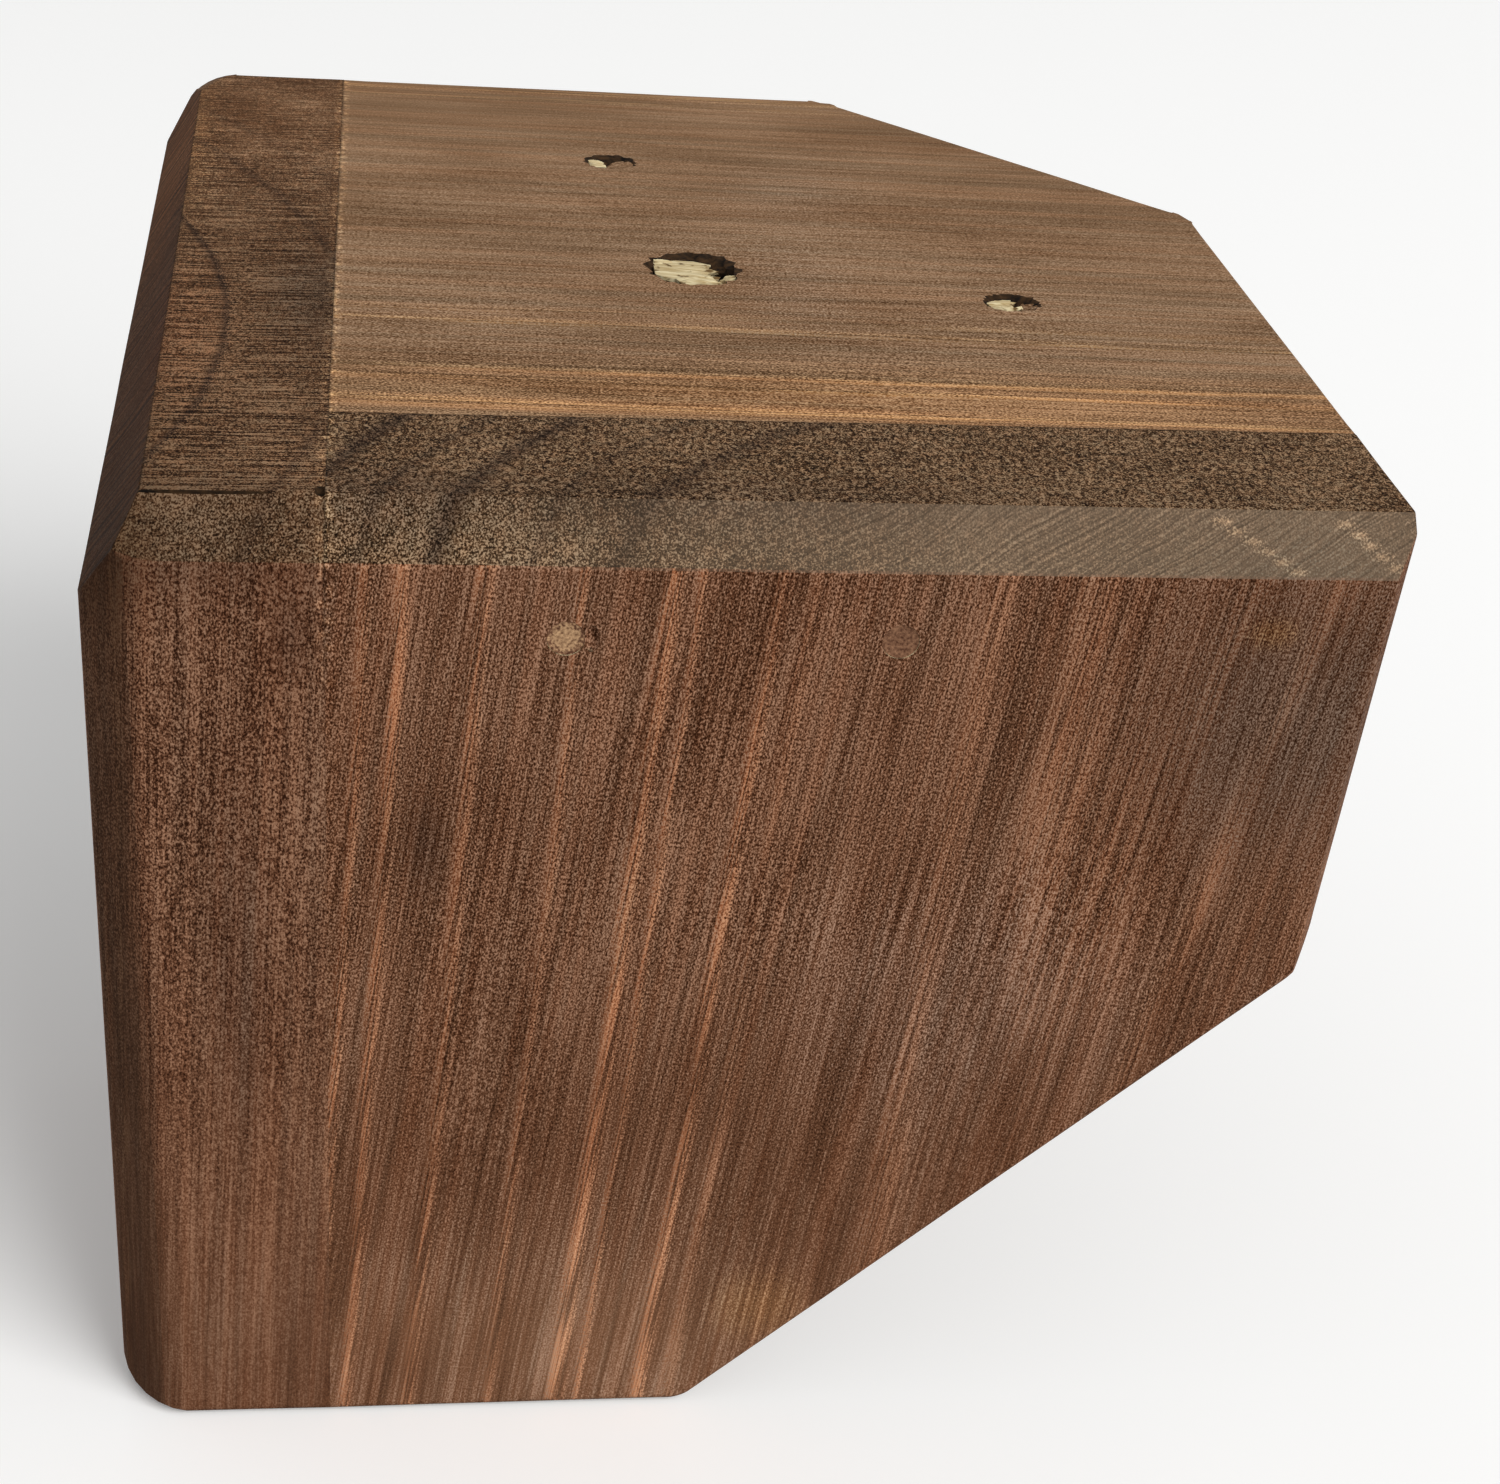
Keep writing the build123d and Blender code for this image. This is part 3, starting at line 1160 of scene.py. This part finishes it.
# %% Stain the front board
# Flat sawn pine, darkest where the stain pooled near the top right.
front_tones = {
    "long": ("2f1608", "6a452f", "ab8268"),
    "end": ("150b05", "543c27", "ac9072"),
    "streak": ("6a361e", "a86a47", "d29a74"),
    "arc": ("120b07", "32241a", "6a5646"),
}
front_streaks = (
    (90.5, 0.9, 0.8), (86.9, 1.1, 0.85), (78.9, 1.3, 0.8), (69.5, 0.8, 0.6),
    (61.5, 1.3, 1.0), (59.0, 0.5, 0.8), (52.4, 1.0, 0.95), (49.5, 0.9, 0.3),
    (36.6, 1.1, 0.35), (33.0, 1.3, 0.35),
)
front_arcs = ((98.5, 2.2, 0.85), (91.5, 1.2, 0.5), (84.3, 2.2, 0.8), (75.0, 1.2, 0.5), (66.8, 2.2, 0.6))
front_smudges = (
    ((59, -68, -22), (23, 15, 24), (0.64, 0.75, 0.86)),
    ((56, -68, -12), (3.5, 4, 2.5), (1.3, 1.2, 0.9)),
    ((27, -68, -62), (24, 12, 22), (1.1, 1.22, 1.36)),
    ((8, -68, -106), (8, 10, 8), (1.3, 1.3, 1.1)),
    ((-33, -68, -39), (3, 8, 9), (0.65, 0.68, 0.72)),
    ((-40, -68, -30), (5, 8, 14), (0.9, 0.88, 0.86)),
    ((-12, -68, -112), (50, 12, 28), (1.55, 1.78, 1.95)),
    ((-38, -62, 0), (10, 9, 6), (0.82, 0.82, 0.86)),
    ((-6, -62, 0), (48, 6, 6), (0.78, 0.79, 0.82)),
)
scratch_rows = (
    (Vector((49.8, -64.0, -1.0)), Vector((57.5, -67.9, -4.9)), 6),
    (Vector((63.5, -64.1, -1.1)), Vector((68.6, -67.5, -4.5)), 5),
)
for start, stop, count in scratch_rows:
    for index in range(count):
        dash = start.lerp(stop, index / (count - 1))
        front_smudges += ((dash, (1.4, 0.65, 0.65), (1.95, 1.9, 1.8)),)
front_level = {"scratch": 0.5, "grit": 1.8}
# The front chamfer turns grey-brown towards the right: its end grain, and a painted sheen
front_chamfer_marks_and_sheen = (((0, -0.707, 0.707), (0.52, -0.6, -0.6), -30, 25, "7d6a57", 0.6, 0.27),)
stained_pine("front_board", (45, -100, 0), (0, math.radians(7.7), 0), 0.001,
             front_tones, front_streaks, front_arcs, front_smudges, front_chamfer_marks_and_sheen, "XY", front_level)

# %% Stain the side board
# The same pine, sawn nearer to the bark, so that the top shows long arcs.
side_tones = {
    "long": ("2d1509", "6b4631", "a27a60"),
    "end": ("1a0e06", "573c27", "9c7e62"),
    "streak": ("6b3f27", "96694a", "b98f6c"),
    "arc": ("160d08", "36251a", "6a5442"),
}
side_streaks = ((97.5, 0.9, 0.5), (91.0, 1.0, 0.35))
side_arcs = ((94.5, 0.8, 1.0), (108.6, 1.2, 0.55), (117.0, 1.8, 0.3))
side_smudges_and_shade = (
    ((-53, -68, -56), (4, 6, 30), (0.78, 0.82, 0.87)),
    ((-61.5, -68, -58), (5, 6, 34), (1.14, 1.1, 1.08)),
    ((-47, -68, -13.5), (2.6, 6, 6.5), (0.7, 0.7, 0.72)),
    ((-45, -10, 0), (8, 18, 6), (0.68, 0.74, 0.82)),
    ((-55, -68, -110), (10, 6, 14), (1.08, 1.16, 1.22)),
    ((-62, -22, 0), (9, 26, 6), (1.12, 1.0, 0.95)),
    ((-54, 50, 0), (20, 30, 8), (1.62, 1.68, 1.75)),
    ((-56, -66, -3), (18, 9, 8), (0.72, 0.75, 0.78)),
    # Painted shade on the left chamfer: darkest at the front, eased towards the back
    ((-67, -58, -6), (8, 32, 10), (0.6, 0.57, 0.5)),
    ((-67, 45, -5), (9, 52, 12), (1.8, 1.75, 1.5)),
)
side_level = {"scratch": 2.7, "grit": 1.2}
# Dark colours for the left and corner chamfers: partly the stain, partly painted shade on faces turned
# from the light
side_chamfer_marks_and_shade = (
    ((-0.868, 0, 0.496), (0.12, 0.4, 0.12), -100, -90, "301903", 0.75, 0.6),
    ((-0.707, -0.707, 0), (0, 0, 1), -100, -90, "38281d", 0.6, 0.05),
)
stained_pine("side_board", (-150, -22, 0), (0, math.radians(2.8), 0), 0.0,
             side_tones, side_streaks, side_arcs, side_smudges_and_shade, side_chamfer_marks_and_shade, "X", side_level)

# %% Stain the corner block
# Laid with its grain along the front, and rubbed lighter than the boards.
block_tones = {
    "long": ("482c14", "86664a", "b79779"),
    "end": ("22140b", "5a422e", "8f745b"),
    "streak": ("8a5f38", "b5875a", "dcb68c"),
    "arc": ("160d08", "36251a", "6a5442"),
}
block_streaks = ((63.7, 0.6, 0.5), (65.9, 0.8, 0.9), (75.5, 0.9, 1.0), (77.8, 0.6, 1.0), (82.6, 1.5, 0.9))
block_arcs = ((58.0, 0.8, 0.5), (71.0, 0.8, 0.5))
block_smudges = (
    ((14, -37, 0), (100, 11, 6), (1.32, 1.18, 1.0)),
    ((12, -4, 0), (9, 18, 6), (1.1, 1.18, 1.28)),
    ((15, 30, 0), (12, 16, 6), (1.1, 1.18, 1.28)),
)
stained_pine("corner_block", (0, 25, -50), (0, math.radians(90), math.radians(-1.8)), 0.0,
             block_tones, block_streaks, block_arcs, block_smudges, (), "XY", {})

# %% [markdown]
# ## Bare pine, putty and steel
#
# The torn holes show pale unstained fibres above walls painted nearly black as shade. The nail plugs
# are a gritty putty: the first plug of each pair was rubbed clean in a ragged spot, and the second took
# the stain nearly as the wood did. The nails are bright drawn wire. All are a noise of a known cell size
# between a dark and a pale colour, so one function starts them.

# %% Torn pine and walls in painted shade
torn_depth = 0.15 * MM


def noise_of(add, place, size_mm, detail):
    """A noise with cells of a size in millimetres."""
    cells = add("VectorMath:DIVIDE", [place, Vector(size_mm) * MM])
    return add("TexNoise", {"Vector": cells, "Scale": 1.0, "Detail": detail})


def between(add, value, low, high, dark, pale):
    """The colour from dark to pale where a value goes from low to high."""
    shade = add("MapRange", [value, low, high])
    return add("Mix", {FACTOR: shade, FIRST: dark, SECOND: pale}, data_type="RGBA")


# Bare pine: pale straw fibres with darker gaps of painted shade between them, so that the tongues read as
# torn
add = nodes_of(bare_pine)
place = add("TexCoord", out="Object")
fibres = noise_of(add, place, (6, 0.35, 0.5), 3.0)
pale = between(add, fibres, 0.3, 0.65, linear("a98d5c"), linear("e6d7ae"))
painted_gap_shade = noise_of(add, place, (1.6, 1.1, 1.1), 3.0)
pale = between(add, painted_gap_shade, 0.56, 0.64, pale, linear("6a5230"))
bump = add("Bump", {"Height": fibres, "Strength": 0.6, "Distance": torn_depth})
wood = add("BsdfPrincipled",
           {"Base Color": pale, "Roughness": 0.85, "Normal": bump, "Specular IOR Level": 0.2})
add("OutputMaterial", {"Surface": wood})

# Pine in painted shade: nearly black, so that the holes, the split and the pit look deep
add = nodes_of(shade_painted_pine)
place = add("TexCoord", out="Object")
fibres = noise_of(add, place, (1.2, 0.5, 0.9), 3.0)
soaked = between(add, fibres, 0.35, 0.75, linear("0f0905"), linear("48331f"))
wood = add("BsdfPrincipled", {"Base Color": soaked, "Roughness": 0.85, "Specular IOR Level": 0.12})
add("OutputMaterial", {"Surface": wood})
print(bare_pine.name, "and", shade_painted_pine.name, "ready")

# %% Dry putty
# Wood putty: gritty and without grain, which tells the plugs from the wood round them.
clean_inside = 1.2 * MM
clean_outside = 1.9 * MM
clean_spots = (
    Vector((plug_runs[0], outer, top - plug_drop)),
    Vector((outer, plug_runs[0], top - plug_drop - nail_stagger)),
)

putty = bpy.data.materials.new("dry_wood_putty")
add = nodes_of(putty)
place = add("TexCoord", out="Object")
grit = noise_of(add, place, (0.35, 0.35, 0.35), 2.0)
ragged = add("Math:MULTIPLY_ADD", [grit, -3 * MM, 1.5 * MM])
clean_share = 0.0
for spot in clean_spots:
    away = add("VectorMath:DISTANCE", [place, spot], "Value")
    away = add("Math:ADD", [away, ragged])
    clear = add("MapRange", [away, clean_inside, clean_outside, 1.0, 0.0])
    clean_share = add("Math:MAXIMUM", [clean_share, clear])
clean = between(add, grit, 0.3, 0.7, linear("7d5b40"), linear("c9a27a"))
dirty = between(add, grit, 0.3, 0.7, linear("4a2a1a"), linear("936b50"))
mixed = add("Mix", {FACTOR: clean_share, FIRST: dirty, SECOND: clean}, data_type="RGBA")
bump = add("Bump", {"Height": grit, "Strength": 0.6, "Distance": torn_depth})
paste = add("BsdfPrincipled",
            {"Base Color": mixed, "Roughness": 0.9, "Normal": bump, "Specular IOR Level": 0.2})
add("OutputMaterial", {"Surface": paste})
for piece in plugs.values():
    piece.data.materials.append(putty)
print(len(plugs), "pairs of plugs wear", putty.name)

# %% Drawn steel wire
# Steel: a grey metal with a broken shine, seen only when the leg is taken apart.
steel = bpy.data.materials.new("drawn_steel_wire")
add = nodes_of(steel)
place = add("TexCoord", out="Object")
lines = noise_of(add, place, (0.15, 0.15, 0.15), 2.0)
grey = add("Mix", {FACTOR: lines, FIRST: linear("8c8c8e"), SECOND: linear("bcbcbf")}, data_type="RGBA")
rough = add("MapRange", [lines, 0, 1, 0.3, 0.5])
wire = add("BsdfPrincipled", {"Base Color": grey, "Metallic": 1.0, "Roughness": rough})
add("OutputMaterial", {"Surface": wire})
for node in ("front_nails", "side_nails"):
    for slot in frame["nodes"][node].material_slots:
        slot.material = steel
print("nails wear", steel.name)
